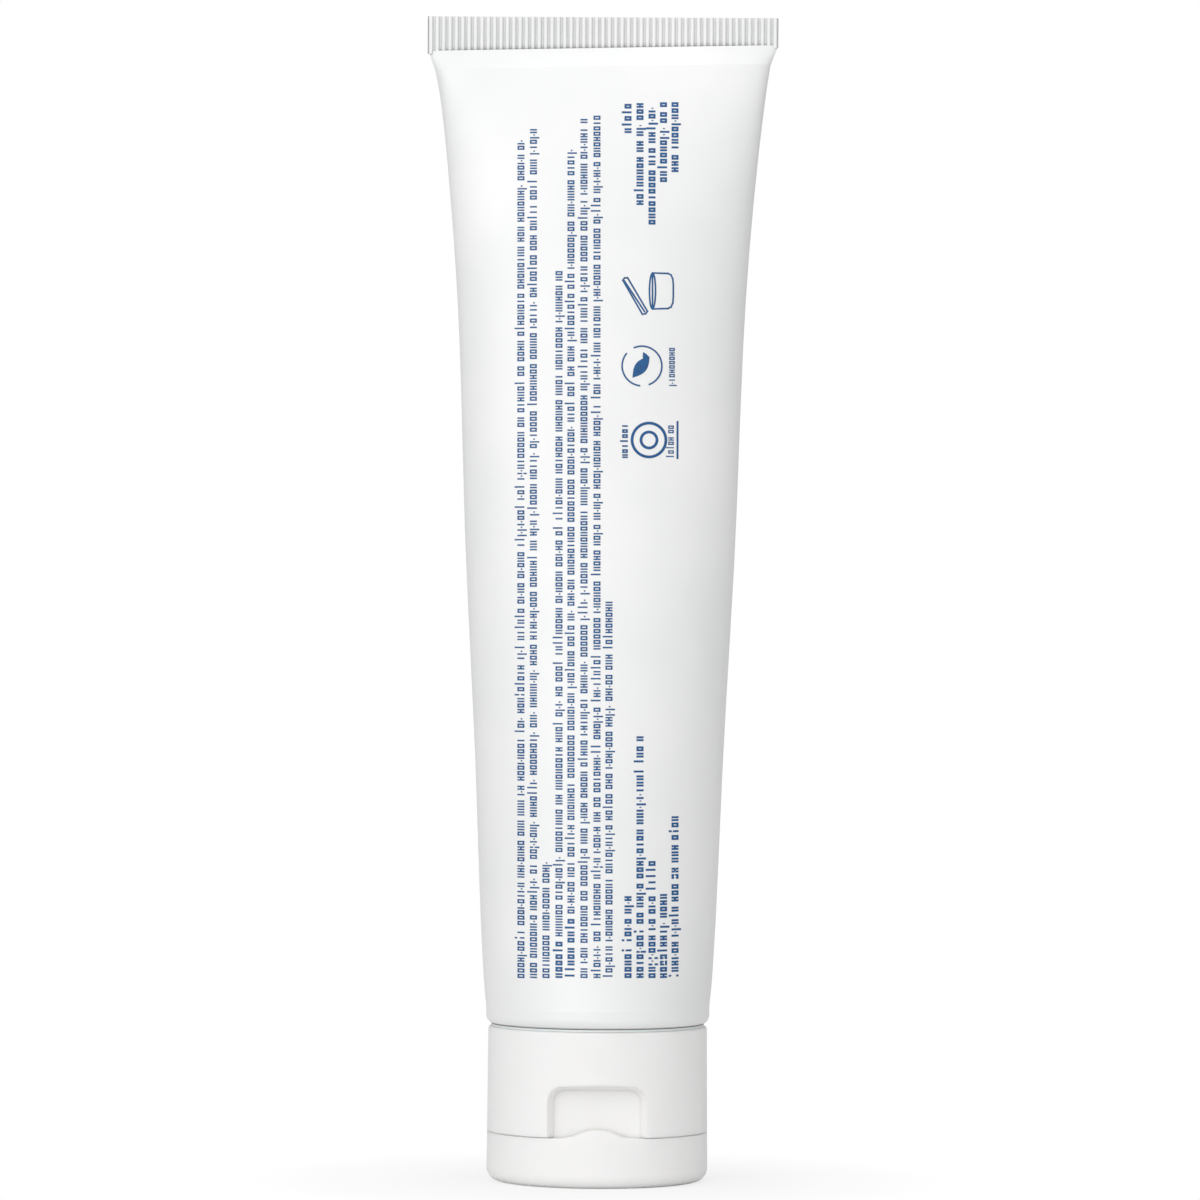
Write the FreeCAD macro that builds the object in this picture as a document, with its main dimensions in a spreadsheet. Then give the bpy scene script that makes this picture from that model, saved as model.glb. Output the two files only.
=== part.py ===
"""A squeeze tube of toothpaste standing on its closed flip-top cap, in millimetres.

The origin is the centre of the lid's flat face, which the tube stands on, and +Z runs up the tube
to its crimped end. The crimp is wide along X, and the thumb recess of the cap faces -Y.
"""
import FreeCAD, Part
import math
import os
import Sketcher

Vector = FreeCAD.Vector

doc = FreeCAD.newDocument("toothpaste_tube")

# Driving dimensions

SIZES = [
    ("barrel_diameter", 38, "round end of the sleeve, before it flattens"),
    ("tube_height", 198, "floor to the top of the crimp"),
    ("sleeve_wall", 0.5, "laminate of the sleeve"),
    ("sleeve_base_round", 1.6, "corner where the sleeve turns in under the shoulder"),
    ("sleeve_turn_in", 3, "how far the sleeve reaches in under the shoulder"),
    ("low_height", 36, "level of the first section above the shoulder"),
    ("low_spread", 0.05, "flattening there: 0 is round and 1 is flat"),
    ("belly_height", 70, "level of the fullest part of the sleeve"),
    ("belly_spread", 0.187, "flattening there"),
    ("middle_spread", 0.372, "flattening half way between the belly and the upper section"),
    ("middle_fullness", 2.1, "squareness of the oval there: 2 is an ellipse"),
    ("upper_drop", 48, "upper section, down from the top of the crimp"),
    ("upper_spread", 0.512, "flattening there"),
    ("upper_fullness", 2.25, "squareness there"),
    ("flare_drop", 26, "start of the flare, down from the top of the crimp"),
    ("flare_spread", 0.672, "flattening there"),
    ("flare_fullness", 2.6, "squareness there"),
    ("wedge_drop", 14.5, "wedge under the crimp, down from the top of the crimp"),
    ("wedge_spread", 0.79, "flattening there"),
    ("wedge_fullness", 3, "squareness there"),
    ("ear_drop", 8.6, "neck under the crimp's ears, down from the top of the crimp"),
    ("ear_spread", 0.88, "flattening there"),
    ("ear_fullness", 3.4, "squareness there"),
    ("crimp_height_left", 4.6, "height of the crimp at its -X end"),
    ("crimp_height_right", 5.9, "height of the crimp at its +X end"),
    ("crimp_web", 0.72, "both walls pressed together, between the ribs"),
    ("rib_pitch", 1.085, "spacing of the crimp's ribs"),
    ("rib_depth", 0.24, "height of a rib over its groove"),
    ("root_fullness", 4, "squareness of the closed walls at the crimp"),
    ("root_inset", 0.15, "how far those walls stay in from the crimp's sides"),
    ("root_cover", 0.12, "how far they stand over the ribs"),
    ("rib_overlap", 0.5, "how far the ribs run down into the closed walls"),
    ("neck_closure", 1.5, "stretch under the crimp's neck where the walls already meet"),
    ("paste_gap", 0.1, "clearance between the paste and the walls"),
    ("paste_headroom", 4, "space without paste below the crimp's neck"),
    ("neck_diameter", 15.8, "outside of the neck"),
    ("neck_bore", 10.6, "inside of the neck"),
    ("shoulder_slope", 22, "angle of the shoulder to the floor, in degrees"),
    ("shoulder_wall", 1.6, "thickness of the shoulder"),
    ("shoulder_collar", 2.2, "rim of the shoulder that stands inside the sleeve"),
    ("collar_wall", 1.1, "thickness of that rim"),
    ("bond_gap", 0.05, "between the shoulder and the sleeve"),
    ("foot_margin", 0.3, "round stretch of the sleeve above the rim of the shoulder"),
    ("cap_height", 26.3, "floor to the rim of the closed cap"),
    ("rim_step", 0.4, "how far the cap's rim stands in from the sleeve"),
    ("cap_draft", 0.2, "how much the cap widens from its rim to the floor, on each side"),
    ("cap_wall", 1.4, "outer wall of the cap and the lid"),
    ("cap_rim_round", 0.45, "edge of the cap's rim"),
    ("rim_gap", 0.35, "between the cap's rim and the sleeve"),
    ("parting_height", 8.45, "floor to the line between the lid and the cap"),
    ("parting_gap", 0.08, "between the closed lid and the cap"),
    ("parting_chamfer", 0.1, "broken edges on both sides of that line"),
    ("deck_wall", 1.5, "deck across the cap"),
    ("land_height", 1, "raised land of the deck, which locates the lid"),
    ("lid_clearance", 0.3, "between the land and the lid's wall"),
    ("thread_clearance", 0.25, "between the neck and the cap's inner collar"),
    ("thread_collar_wall", 1.6, "wall of that collar"),
    ("thread_collar_height", 11.5, "reach of that collar above the deck"),
    ("mouth_clearance", 0.2, "between the neck's mouth and the deck"),
    ("nozzle_diameter", 9, "spout in the middle of the deck"),
    ("nozzle_height", 3, "reach of the spout from the land"),
    ("nozzle_round", 0.5, "edge of the spout"),
    ("orifice_diameter", 5.2, "hole through the spout"),
    ("recess_width", 18.6, "thumb recess at the cap's surface"),
    ("recess_floor_width", 14.6, "thumb recess at its floor"),
    ("recess_height", 8.9, "thumb recess above the parting line"),
    ("recess_floor_height", 7.9, "the same at its floor"),
    ("recess_depth", 4.1, "floor of the recess below the round of the cap"),
    ("recess_corner", 3, "upper corners of the recess"),
    ("recess_floor_corner", 2, "upper corners of its floor"),
    ("recess_wall", 1.2, "wall behind the recess"),
    ("lid_plate", 1.6, "flat plate of the lid"),
    ("lid_edge_round", 2.3, "edge of the lid at the floor"),
    ("thumb_arch_width", 12.8, "arch on the lid that the thumb catches"),
    ("thumb_arch_rise", 1.45, "height of that arch"),
    ("ledge_clearance", 0.3, "between the lid's ledge and the recess floor"),
    ("plug_clearance", 0.35, "between the lid's plug and the orifice"),
    ("plug_entry", 1.4, "how far the plug enters the orifice"),
    ("plug_chamfer", 0.4, "tip of the plug"),
    ("hinge_width", 12, "flat at the back of the cap that carries the hinge"),
    ("hinge_web_width", 9, "thin web between the lid and the cap"),
    ("hinge_web_wall", 0.45, "thickness of that web"),
    ("hinge_web_gap", 0.02, "half of the fold line in the web"),
    ("hinge_groove", 0.5, "groove beside the web, on each side of the parting line"),
    ("fuse_overlap", 0.1, "how far joined shapes reach into each other"),
    ("tool_overrun", 1, "how far cutting shapes run past what they cut"),
]

sheet = doc.addObject("Spreadsheet::Sheet", "sizes")
for row, (alias, number, meaning) in enumerate(SIZES, start=1):
    sheet.set(f"A{row}", meaning)
    sheet.set(f"B{row}", str(number))
    sheet.setAlias(f"B{row}", alias)
doc.recompute()

probe = doc.addObject("Part::Feature", "probe")


def number(expression):
    """What an expression over the sheet comes to now."""
    return float(probe.evalExpression(expression))


# Places that several pieces share, as expressions over the sheet

CAP_LOW = "(sizes.parting_height + sizes.parting_gap / 2)"
LID_TOP = "(sizes.parting_height - sizes.parting_gap / 2)"
DECK_TOP = f"({CAP_LOW} + sizes.deck_wall)"
LAND_LOW = f"({CAP_LOW} - sizes.land_height)"
NOZZLE_TIP = f"({LAND_LOW} - sizes.nozzle_height)"
MOUTH = f"({DECK_TOP} + sizes.mouth_clearance)"
SLEEVE_BASE = "(sizes.cap_height + sizes.rim_gap)"
BARREL_RADIUS = "(sizes.barrel_diameter / 2)"
DRAFT = "(sizes.cap_draft / sizes.cap_height)"
RIM_RADIUS = f"({BARREL_RADIUS} - sizes.rim_step)"
BASE_RADIUS = f"({RIM_RADIUS} + sizes.cap_draft)"
PARTING_RADIUS = f"({BASE_RADIUS} - {DRAFT} * sizes.parting_height)"
LID_INSIDE = f"({PARTING_RADIUS} - sizes.cap_wall)"
HINGE_PLANE = f"sqrt({PARTING_RADIUS}^2 - (sizes.hinge_width / 2)^2)"
HINGE_INSIDE = f"({HINGE_PLANE} - sizes.cap_wall)"
RECESS_FLOOR = f"({PARTING_RADIUS} - sizes.recess_depth)"
LEDGE_BACK = f"({RECESS_FLOOR} + sizes.ledge_clearance)"
OUTSIDE = f"({BASE_RADIUS} + sizes.tool_overrun)"
HEAD_RADIUS = f"({BARREL_RADIUS} - sizes.sleeve_wall - sizes.bond_gap)"
HEAD_REST = f"({SLEEVE_BASE} + sizes.sleeve_wall + sizes.bond_gap)"
HEAD_TOP = f"({HEAD_REST} + sizes.shoulder_collar)"
FOOT_TOP = f"({HEAD_TOP} + sizes.foot_margin)"


def cap_radius(height):
    """Outer radius of the drafted cap and lid at a height."""
    return f"({BASE_RADIUS} - {DRAFT} * {height})"


# Tools for the moulded pieces

def origin_plane(body, role):
    return next(item for item in body.Origin.OriginFeatures if item.Role == role)


def new_body(label):
    body = doc.addObject("PartDesign::Body", label)
    body.Label = label
    body.Placement = FreeCAD.Placement()
    return body


def new_sketch(body, name, role, offset="0"):
    """A sketch on one of the body's origin planes, moved along the plane's normal."""
    sketch = body.newObject("Sketcher::SketchObject", name)
    sketch.AttachmentSupport = [(origin_plane(body, role), "")]
    sketch.MapMode = "FlatFace"
    sketch.setExpression("AttachmentOffset.Base.z", offset)
    return sketch


def bind(sketch, kind, geometry, point, expression):
    """Ties one coordinate of a point to an expression, measured from the sketch's origin."""
    index = sketch.addConstraint(
        Sketcher.Constraint(kind, -1, 1, geometry, point, number(expression)))
    sketch.setExpression(f"Constraints[{index}]", expression)


def bind_size(sketch, kind, geometry, expression):
    index = sketch.addConstraint(Sketcher.Constraint(kind, geometry, number(expression)))
    sketch.setExpression(f"Constraints[{index}]", expression)


def polygon(sketch, corners):
    """A closed outline whose corners are pairs of expressions."""
    places = [Vector(number(x), number(y), 0) for x, y in corners]
    count = len(places)
    for index in range(count):
        sketch.addGeometry(Part.LineSegment(places[index], places[(index + 1) % count]))
    for index in range(count):
        sketch.addConstraint(Sketcher.Constraint("Coincident", index, 2, (index + 1) % count, 1))
    for index, (x, y) in enumerate(corners):
        bind(sketch, "DistanceX", index, 1, x)
        bind(sketch, "DistanceY", index, 1, y)
    return sketch


def rectangle(sketch, low_x, low_y, high_x, high_y):
    return polygon(sketch, [(low_x, low_y), (high_x, low_y), (high_x, high_y), (low_x, high_y)])


def revolve(body, name, corners):
    """A solid of revolution about Z from an outline of radius and height."""
    sketch = polygon(new_sketch(body, f"{name}_outline", "XZ_Plane"), corners)
    feature = body.newObject("PartDesign::Revolution", name)
    feature.Profile = sketch
    feature.ReferenceAxis = (sketch, ["V_Axis"])
    feature.Angle = 360
    doc.recompute()
    return feature


# Share of a body's volume by which its measured value can be off on drafted faces

VOLUME_NOISE = 0.001


def change_volume(body, feature, grows):
    """Stops if a feature changed nothing, or plainly added where it should remove or the reverse."""
    before = body.Shape.Volume
    faces_before = len(body.Shape.Faces)
    doc.recompute()
    body.Tip = feature
    doc.recompute()
    grown = body.Shape.Volume - before
    right_way = grown if grows else -grown
    unchanged = grown == 0 and len(body.Shape.Faces) == faces_before
    if unchanged or right_way < -VOLUME_NOISE * before:
        raise RuntimeError(f"{feature.Name} changed the volume by {grown:.3f}")
    return feature


def pocket(body, name, sketch, depth=None, up=False):
    """Cuts down from the sketch by depth, or up, or right through both ways without a depth."""
    feature = body.newObject("PartDesign::Pocket", name)
    feature.Profile = sketch
    if depth is None:
        feature.Type = "ThroughAll"
        feature.SideType = "Symmetric"
    else:
        feature.setExpression("Length", depth)
        feature.Reversed = up
    return change_volume(body, feature, grows=False)


def pad(body, name, sketch, height, down=False):
    feature = body.newObject("PartDesign::Pad", name)
    feature.Profile = sketch
    feature.setExpression("Length", height)
    feature.Reversed = down
    return change_volume(body, feature, grows=True)


def edges_where(shape, test):
    """Names of the edges that pass a test."""
    return [f"Edge{index}" for index, edge in enumerate(shape.Edges, start=1) if test(edge)]


def ring_edges(shape, radius, height, near=0.03):
    """Round edges about Z of a radius, at a height."""
    def on_ring(edge):
        box = edge.BoundBox
        if abs(box.ZMin - height) > near or abs(box.ZMax - height) > near:
            return False
        return all(abs(math.hypot(point.X, point.Y) - radius) < near for point in edge.Vertexes) \
            and edge.Curve.TypeId == "Part::GeomCircle" and abs(edge.Curve.Radius - radius) < near
    return edges_where(shape, on_ring)


def round_edges(body, name, base, edges, size, kind="PartDesign::Fillet"):
    if not edges:
        raise RuntimeError(f"{name} found no edge")
    feature = body.newObject(kind, name)
    feature.Base = (base, edges)
    feature.setExpression("Radius" if kind.endswith("Fillet") else "Size", size)
    return change_volume(body, feature, grows=False)


# Sleeve, whose girth stays the same from its round end to its flat one

GIRTH_POINTS = 56
FINE_POINTS = 720
HALVINGS = 40
ELLIPSE = 2


def oval(half_width, half_depth, fullness):
    """Fine points of an oval: fullness 2 is an ellipse, and more is squarer."""
    power = 2 / fullness
    points = []
    for index in range(FINE_POINTS):
        turn = 2 * math.pi * index / FINE_POINTS
        x = math.copysign(abs(math.cos(turn)) ** power, math.cos(turn))
        y = math.copysign(abs(math.sin(turn)) ** power, math.sin(turn))
        points.append((half_width * x, half_depth * y))
    return points


def arc_lengths(points):
    total = [0]
    for index, point in enumerate(points):
        following = points[(index + 1) % len(points)]
        total.append(total[-1] + math.dist(point, following))
    return total


def depth_for_girth(half_width, fullness, girth):
    """Half depth of the oval that has this girth, found by halving."""
    low = 0
    high = half_width
    for _ in range(HALVINGS):
        middle = (low + high) / 2
        if arc_lengths(oval(half_width, middle, fullness))[-1] < girth:
            low = middle
        else:
            high = middle
    return low


def evenly_spaced(points):
    """Points spaced evenly round the oval, as the laminate's own length is."""
    lengths = arc_lengths(points)
    chosen = []
    index = 0
    for step in range(GIRTH_POINTS):
        target = lengths[-1] * step / GIRTH_POINTS
        while lengths[index + 1] < target:
            index += 1
        share = (target - lengths[index]) / (lengths[index + 1] - lengths[index])
        start = points[index]
        end = points[(index + 1) % len(points)]
        chosen.append((start[0] + share * (end[0] - start[0]), start[1] + share * (end[1] - start[1])))
    return chosen


def section(name, half_width, half_depth, fullness, height, tilt=0):
    """One cross-section of the sleeve, as a closed smooth curve that may lean along X."""
    flat = evenly_spaced(oval(half_width, half_depth, fullness))
    curve = Part.BSplineCurve()
    curve.interpolate(Points=[Vector(x, y, height + tilt * x) for x, y in flat], PeriodicFlag=True)
    feature = doc.addObject("Part::Feature", name)
    feature.Shape = Part.Wire([curve.toShape()])
    feature.Placement = FreeCAD.Placement()
    return feature


def width_at(spread):
    """Half width of the sleeve, between its radius and a quarter of its girth."""
    radius = number(BARREL_RADIUS)
    return radius * (1 + spread * (math.pi / 2 - 1))


def sleeve_stations():
    """Height, flattening and fullness of each section, from the shoulder to below the crimp."""
    top = number("sizes.tube_height")
    belly = number("sizes.belly_height")
    upper = top - number("sizes.upper_drop")
    return [
        (number(FOOT_TOP), 0, ELLIPSE),
        (number("sizes.low_height"), number("sizes.low_spread"), ELLIPSE),
        (belly, number("sizes.belly_spread"), ELLIPSE),
        ((belly + upper) / 2, number("sizes.middle_spread"), number("sizes.middle_fullness")),
        (upper, number("sizes.upper_spread"), number("sizes.upper_fullness")),
        (top - number("sizes.flare_drop"), number("sizes.flare_spread"), number("sizes.flare_fullness")),
        (top - number("sizes.wedge_drop"), number("sizes.wedge_spread"), number("sizes.wedge_fullness")),
        (top - number("sizes.ear_drop"), number("sizes.ear_spread"), number("sizes.ear_fullness")),
    ]


def loft(name, sections):
    feature = doc.addObject("Part::Loft", name)
    feature.Sections = sections
    feature.Solid = True
    feature.Ruled = False
    doc.recompute()
    return feature


def boolean(kind, name, base, tool):
    feature = doc.addObject(f"Part::{kind}", name)
    feature.Base = base
    feature.Tool = tool
    doc.recompute()
    return feature


CRIMP_LEAN = "((sizes.crimp_height_left - sizes.crimp_height_right) / (pi / 2 * sizes.barrel_diameter))"
CRIMP_MIDDLE = "(sizes.tube_height - (sizes.crimp_height_left + sizes.crimp_height_right) / 2)"
CRIMP_HALF_WIDTH = "(pi / 4 * sizes.barrel_diameter)"


def girth_form(name, inset):
    """The sleeve's form up to the neck under the crimp, set in from its outer face."""
    girth = 2 * math.pi * number(BARREL_RADIUS)
    stations = sleeve_stations()
    sections = []
    for index, (height, spread, fullness) in enumerate(stations):
        half_width = width_at(spread)
        half_depth = half_width if spread == 0 else depth_for_girth(half_width, fullness, girth)
        last = index == len(stations) - 1
        sections.append(section(f"{name}_{index}", half_width - inset, half_depth - inset, fullness,
                                height, -number(CRIMP_LEAN) if last else 0))
    return loft(name, sections)


def closed_form(name, inset, headroom):
    """The same form, ending level below the neck by a headroom."""
    form = girth_form(f"{name}_blank", inset)
    above = doc.addObject("Part::Box", f"above_{name}")
    above.setExpression("Length", "4 * sizes.barrel_diameter")
    above.setExpression("Width", "2 * sizes.barrel_diameter")
    above.setExpression("Height", f"sizes.ear_drop + {headroom}")
    above.setExpression("Placement.Base.x", "-2 * sizes.barrel_diameter")
    above.setExpression("Placement.Base.y", "-sizes.barrel_diameter")
    above.setExpression("Placement.Base.z", f"sizes.tube_height - sizes.ear_drop - {headroom}")
    return boolean("Cut", name, form, above)


def crimp_root(neck):
    """The solid stretch between the neck and the crimp, where both walls close on each other."""
    half_width = number(f"{CRIMP_HALF_WIDTH} - sizes.root_inset")
    half_depth = number("sizes.crimp_web / 2 + sizes.rib_depth + sizes.root_cover")
    line = section("crimp_line", half_width, half_depth, number("sizes.root_fullness"),
                   number(CRIMP_MIDDLE), -number(CRIMP_LEAN))
    return loft("crimp_root", [neck, line])


def barrel_foot(name, inset):
    """The round foot of the sleeve's form, with its turned-in corner."""
    foot = doc.addObject("Part::Cylinder", f"{name}_blank")
    foot.setExpression("Radius", f"{BARREL_RADIUS} - {inset}")
    foot.setExpression("Height", f"{FOOT_TOP} - {SLEEVE_BASE} - {inset}")
    foot.setExpression("Placement.Base.z", f"{SLEEVE_BASE} + {inset}")
    doc.recompute()
    feature = doc.addObject("Part::Fillet", name)
    feature.Base = foot
    radius = number(f"sizes.sleeve_base_round - {inset}")
    lower_edge = next(index for index, edge in enumerate(foot.Shape.Edges, start=1)
                      if edge.BoundBox.ZMax < foot.Shape.BoundBox.ZMin + 0.01)
    feature.Edges = [(lower_edge, radius, radius)]
    doc.recompute()
    return feature


# Where a rib's flanks start and end, as shares of the pitch

FLANK_LOW = 0.05
CREST_START = 0.30
CREST_END = 0.65
FLANK_END = 0.90


def wave_side(count, pitch, start, valley, crest):
    """One side of the ribbed strip, as corners from left to right: grooves and flat-topped ribs."""
    corners = []
    for index in range(count):
        left = start + index * pitch
        corners.append((left + pitch * FLANK_LOW, valley))
        corners.append((left + pitch * CREST_START, crest))
        corners.append((left + pitch * CREST_END, crest))
        corners.append((left + pitch * FLANK_END, valley))
    return corners


def crimp_strip():
    """The flat ribbed end, pressed from both walls, with a rib on one face at a groove on the other."""
    half_width = number(CRIMP_HALF_WIDTH)
    pitch = number("sizes.rib_pitch")
    count = math.floor(2 * half_width / pitch)
    start = -count * pitch / 2
    half_web = number("sizes.crimp_web") / 2
    depth = number("sizes.rib_depth")
    front = wave_side(count, pitch, start, -half_web + depth / 2, -half_web - depth / 2)
    back = wave_side(count, pitch, start, half_web + depth / 2, half_web - depth / 2)
    outline = [(-half_width, -half_web), *front, (half_width, -half_web),
               (half_width, half_web), *reversed(back), (-half_width, half_web)]
    low = number("sizes.tube_height - sizes.ear_drop")
    points = [Vector(x, y, low) for x, y in outline]
    face = doc.addObject("Part::Feature", "crimp_outline")
    face.Shape = Part.Face(Part.makePolygon(points + points[:1]))
    strip = doc.addObject("Part::Extrusion", "crimp_blank")
    strip.Base = face
    strip.DirMode = "Custom"
    strip.Dir = Vector(0, 0, 1)
    strip.setExpression("LengthFwd", "sizes.ear_drop")
    strip.Solid = True
    below = doc.addObject("Part::Box", "below_crimp")
    below.setExpression("Length", "sizes.barrel_diameter * 2")
    below.setExpression("Width", "sizes.barrel_diameter")
    below.setExpression("Height", BARREL_RADIUS)
    below.Placement.Rotation = FreeCAD.Rotation(Vector(0, 1, 0), math.degrees(math.atan(number(CRIMP_LEAN))))
    doc.recompute()
    corner = below.Placement.Rotation.multVec(
        Vector(number("sizes.barrel_diameter"), number(BARREL_RADIUS),
               number(f"{BARREL_RADIUS} + sizes.rib_overlap")))
    below.Placement.Base = Vector(0, 0, number(CRIMP_MIDDLE)) - corner
    return boolean("Cut", "crimp", strip, below)


def make_sleeve():
    form = girth_form("outer_form", 0)
    outside = boolean("Fuse", "sleeve_outside", form, barrel_foot("outer_foot", "0"))
    wall = number("sizes.sleeve_wall")
    inside = boolean("Fuse", "sleeve_inside",
                     closed_form("inner_form", wall, "sizes.neck_closure"),
                     barrel_foot("inner_foot", "sizes.sleeve_wall"))
    mouth = doc.addObject("Part::Cylinder", "sleeve_mouth")
    mouth.setExpression("Radius", f"{BARREL_RADIUS} - sizes.sleeve_turn_in")
    mouth.setExpression("Height", "4 * sizes.sleeve_wall")
    mouth.setExpression("Placement.Base.z", f"{SLEEVE_BASE} - 2 * sizes.sleeve_wall")
    hollow = boolean("Fuse", "sleeve_hollow", inside, mouth)
    shell = boolean("Cut", "sleeve_shell", outside, hollow)
    end = boolean("Fuse", "crimped_end", crimp_root(form.Sections[-1]), crimp_strip())
    sleeve = boolean("Fuse", "tube_sleeve", shell, end)
    sleeve.Label = "tube_sleeve"
    return sleeve


# Shoulder and neck

SHOULDER_EDGE = f"({BARREL_RADIUS} - sizes.sleeve_turn_in - sizes.bond_gap)"
FALL = "tan(sizes.shoulder_slope)"
NECK_RADIUS = "(sizes.neck_diameter / 2)"
BORE_RADIUS = "(sizes.neck_bore / 2)"
NECK_ROOT = f"({SLEEVE_BASE} - ({SHOULDER_EDGE} - {NECK_RADIUS}) * {FALL})"
COLLAR_INSIDE = f"({HEAD_RADIUS} - sizes.collar_wall)"
FUNNEL_EDGE = f"({SLEEVE_BASE} + ({COLLAR_INSIDE} - {SHOULDER_EDGE}) * {FALL} + sizes.shoulder_wall)"
FUNNEL_ROOT = f"({FUNNEL_EDGE} - ({COLLAR_INSIDE} - {BORE_RADIUS}) * {FALL})"


def make_head():
    head = new_body("tube_head")
    revolve(head, "shoulder_and_neck", [
        (BORE_RADIUS, MOUTH),
        (NECK_RADIUS, MOUTH),
        (NECK_RADIUS, NECK_ROOT),
        (SHOULDER_EDGE, SLEEVE_BASE),
        (SHOULDER_EDGE, HEAD_REST),
        (f"({HEAD_RADIUS} - sizes.sleeve_base_round)", HEAD_REST),
        (HEAD_RADIUS, f"({HEAD_REST} + sizes.sleeve_base_round)"),
        (HEAD_RADIUS, HEAD_TOP),
        (COLLAR_INSIDE, HEAD_TOP),
        (COLLAR_INSIDE, FUNNEL_EDGE),
        (BORE_RADIUS, FUNNEL_ROOT),
    ])
    return head


def make_paste():
    """The contents, which fill the neck, the funnel of the shoulder and the sleeve."""
    gap = "sizes.paste_gap"
    plug = new_body("paste_in_head")
    revolve(plug, "neck_fill", [
        ("0", MOUTH),
        (f"({BORE_RADIUS} - {gap})", MOUTH),
        (f"({BORE_RADIUS} - {gap})", f"({FUNNEL_ROOT} + {gap})"),
        (f"({COLLAR_INSIDE} - {gap})", f"({FUNNEL_EDGE} + {gap})"),
        (f"({COLLAR_INSIDE} - {gap})", f"({FOOT_TOP} + sizes.fuse_overlap)"),
        ("0", f"({FOOT_TOP} + sizes.fuse_overlap)"),
    ])
    inset = number("sizes.sleeve_wall + sizes.paste_gap")
    filling = closed_form("paste_form", inset, "sizes.paste_headroom")
    paste = boolean("Fuse", "paste_fill", filling, plug)
    paste.Label = "paste_fill"
    return paste


# Cap

def recess_outline(body, name, depth, width, height, corner):
    """The recess seen from the front: open at the parting line, with two round upper corners."""
    sketch = new_sketch(body, name, "XZ_Plane", depth)
    low = f"({NOZZLE_TIP} - sizes.tool_overrun)"
    half = f"({width} / 2)"
    top = f"({CAP_LOW} + {height})"
    x = number(half)
    z_low = number(low)
    z_top = number(top)
    radius = number(corner)
    z_side = z_top - radius
    x_top = x - radius
    sketch.addGeometry(Part.LineSegment(Vector(-x, z_low, 0), Vector(x, z_low, 0)))
    sketch.addGeometry(Part.LineSegment(Vector(x, z_low, 0), Vector(x, z_side, 0)))
    sketch.addGeometry(Part.ArcOfCircle(
        Part.Circle(Vector(x_top, z_side, 0), Vector(0, 0, 1), radius), 0, math.pi / 2))
    sketch.addGeometry(Part.LineSegment(Vector(x_top, z_top, 0), Vector(-x_top, z_top, 0)))
    sketch.addGeometry(Part.ArcOfCircle(
        Part.Circle(Vector(-x_top, z_side, 0), Vector(0, 0, 1), radius), math.pi / 2, math.pi))
    sketch.addGeometry(Part.LineSegment(Vector(-x, z_side, 0), Vector(-x, z_low, 0)))
    joints = [(0, 2, 1, 1), (5, 2, 0, 1)]
    for constraint in joints:
        sketch.addConstraint(Sketcher.Constraint("Coincident", *constraint))
    tangents = [(1, 2, 2, 1), (2, 2, 3, 1), (3, 2, 4, 1), (4, 2, 5, 1)]
    for constraint in tangents:
        sketch.addConstraint(Sketcher.Constraint("Tangent", *constraint))
    sketch.addConstraint(Sketcher.Constraint("Vertical", 1))
    sketch.addConstraint(Sketcher.Constraint("Vertical", 5))
    sketch.addConstraint(Sketcher.Constraint("Horizontal", 3))
    bind(sketch, "DistanceX", 0, 1, f"-{half}")
    bind(sketch, "DistanceY", 0, 1, low)
    bind(sketch, "DistanceX", 0, 2, half)
    bind(sketch, "DistanceY", 0, 2, low)
    bind(sketch, "DistanceY", 3, 1, top)
    bind_size(sketch, "Radius", 2, corner)
    bind_size(sketch, "Radius", 4, corner)
    return sketch


def segment_outline(sketch, radius, half_width, back):
    """A slice of a disc at its -Y side, between two straight sides and a straight back."""
    arc_radius = number(radius)
    x = number(half_width)
    y = -math.sqrt(arc_radius ** 2 - x ** 2)
    y_back = number(back)
    turn = math.atan2(y, x)
    sketch.addGeometry(Part.ArcOfCircle(
        Part.Circle(Vector(0, 0, 0), Vector(0, 0, 1), arc_radius), -math.pi - turn, turn))
    sketch.addGeometry(Part.LineSegment(Vector(x, y, 0), Vector(x, y_back, 0)))
    sketch.addGeometry(Part.LineSegment(Vector(x, y_back, 0), Vector(-x, y_back, 0)))
    sketch.addGeometry(Part.LineSegment(Vector(-x, y_back, 0), Vector(-x, y, 0)))
    for constraint in [(0, 2, 1, 1), (1, 2, 2, 1), (2, 2, 3, 1), (3, 2, 0, 1), (0, 3, -1, 1)]:
        sketch.addConstraint(Sketcher.Constraint("Coincident", *constraint))
    sketch.addConstraint(Sketcher.Constraint("Vertical", 1))
    sketch.addConstraint(Sketcher.Constraint("Vertical", 3))
    bind(sketch, "DistanceX", 2, 1, half_width)
    bind(sketch, "DistanceX", 2, 2, f"-{half_width}")
    bind(sketch, "DistanceY", 2, 1, back)
    bind(sketch, "DistanceY", 2, 2, back)
    bind_size(sketch, "Radius", 0, radius)
    return sketch


def cut_hinge_flat(body, low, height):
    """The flat at the back, which the hinge line lies in."""
    sketch = new_sketch(body, f"{body.Label}_flat_outline", "XY_Plane", low)
    rectangle(sketch, f"-{OUTSIDE}", HINGE_PLANE, OUTSIDE, OUTSIDE)
    return pocket(body, f"{body.Label}_flat", sketch, height, up=True)


def cut_hinge_grooves(body, low, height):
    """Grooves beside the web, so that only the web joins the lid to the cap."""
    web_side = "(sizes.hinge_web_width / 2)"
    for side, near, far in (("left", f"-{OUTSIDE}", f"-{web_side}"), ("right", web_side, OUTSIDE)):
        sketch = new_sketch(body, f"{body.Label}_{side}_groove_outline", "XY_Plane", low)
        rectangle(sketch, near, f"({HINGE_PLANE} - sizes.hinge_web_wall)", far, OUTSIDE)
        pocket(body, f"{body.Label}_{side}_groove", sketch, height, up=True)


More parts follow.
